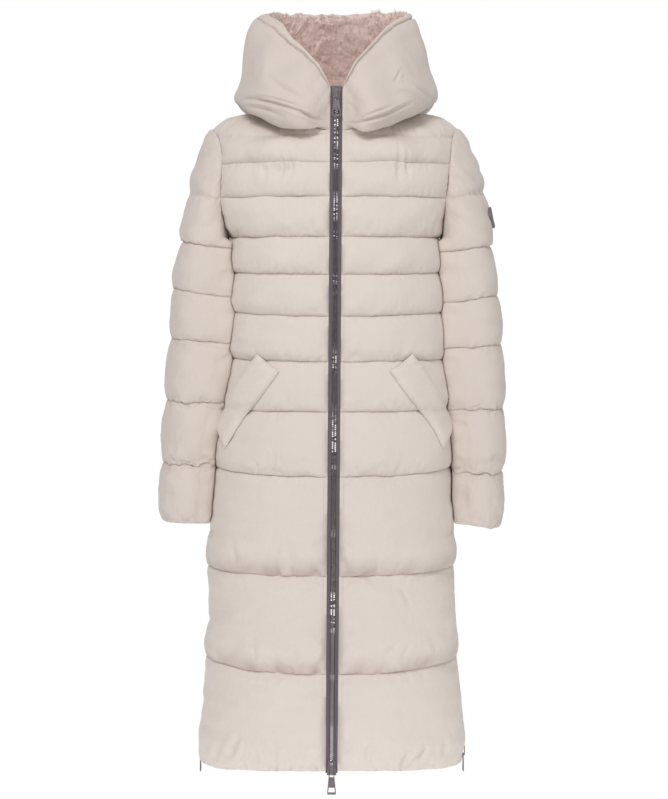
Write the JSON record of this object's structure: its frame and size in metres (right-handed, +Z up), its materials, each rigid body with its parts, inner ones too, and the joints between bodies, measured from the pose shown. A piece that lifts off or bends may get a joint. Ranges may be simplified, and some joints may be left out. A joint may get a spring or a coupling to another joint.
{
  "type": "long quilted winter coat with a fur-lined hood",
  "caption": "Long padded women's coat, quilted in level channels, with a big fur-lined hood, two-way front zip, side vent zips and slanting welt pockets, filled out as if worn.",
  "frame": {"origin": "middle of the wearer's neck and shoulder seat, level with the top of the shoulders", "axes": "+Z up, -Y the way the coat's front faces, +X towards the wearer's left"},
  "size_m": [0.5671, 0.3624, 1.2617],
  "materials": {
    "shell_cloth": "fine woven polyester, soft sheen, beige",
    "pink_fur": "short dense faux fur pile, dusty pink",
    "zip_tape": "woven zip tape, dark brown-grey",
    "dark_metal": "dark nickel plating",
    "badge_rubber": "matt, bare",
    "label_cloth": "satin tape, blank"
  },
  "bodies": {
    "coat": {"front_right": "shell_cloth", "front_left": "shell_cloth", "back": "shell_cloth", "sleeve_right": "shell_cloth", "sleeve_left": "shell_cloth", "hood_right": "shell_cloth", "hood_left": "shell_cloth", "pocket_welt_right": "shell_cloth", "pocket_welt_left": "shell_cloth", "fur_lining_right": "pink_fur", "fur_lining_left": "pink_fur", "zip_tape_right": "zip_tape", "zip_tape_left": "zip_tape", "vent_tape_front_right": "zip_tape", "vent_tape_front_left": "zip_tape", "vent_tape_back_right": "zip_tape", "vent_tape_back_left": "zip_tape", "zip_chain": "dark_metal", "vent_chain_right": "dark_metal", "vent_chain_left": "dark_metal", "zip_slider_top": "dark_metal", "zip_slider_bottom": "dark_metal", "vent_slider_right": "dark_metal", "vent_slider_left": "dark_metal", "sleeve_badge": "badge_rubber", "side_label": "label_cloth"},
    "top_tab": {"zip_pull_top": "dark_metal"},
    "bottom_tab": {"zip_pull_bottom": "dark_metal"},
    "right_vent_tab": {"vent_pull_right": "dark_metal"},
    "left_vent_tab": {"vent_pull_left": "dark_metal"}
  },
  "joints": [
    {"name": "top_tab_swing", "type": "hinge", "parent": "coat", "child": "top_tab", "pos_m": [0.00383, -0.128, 0.0293], "axis": [-1, 0, 0], "range_deg": [0, 135]},
    {"name": "bottom_tab_swing", "type": "hinge", "parent": "coat", "child": "bottom_tab", "pos_m": [-0.00385, -0.153, -1.0337], "axis": [-1, 0, 0], "range_deg": [0, 135]},
    {"name": "right_vent_tab_swing", "type": "hinge", "parent": "coat", "child": "right_vent_tab", "pos_m": [-0.2201, 0, -1.0417], "axis": [0, 1, 0], "range_deg": [0, 135]},
    {"name": "left_vent_tab_swing", "type": "hinge", "parent": "coat", "child": "left_vent_tab", "pos_m": [0.21299, 0, -1.0417], "axis": [0, -1, 0], "range_deg": [0, 135]}
  ]
}
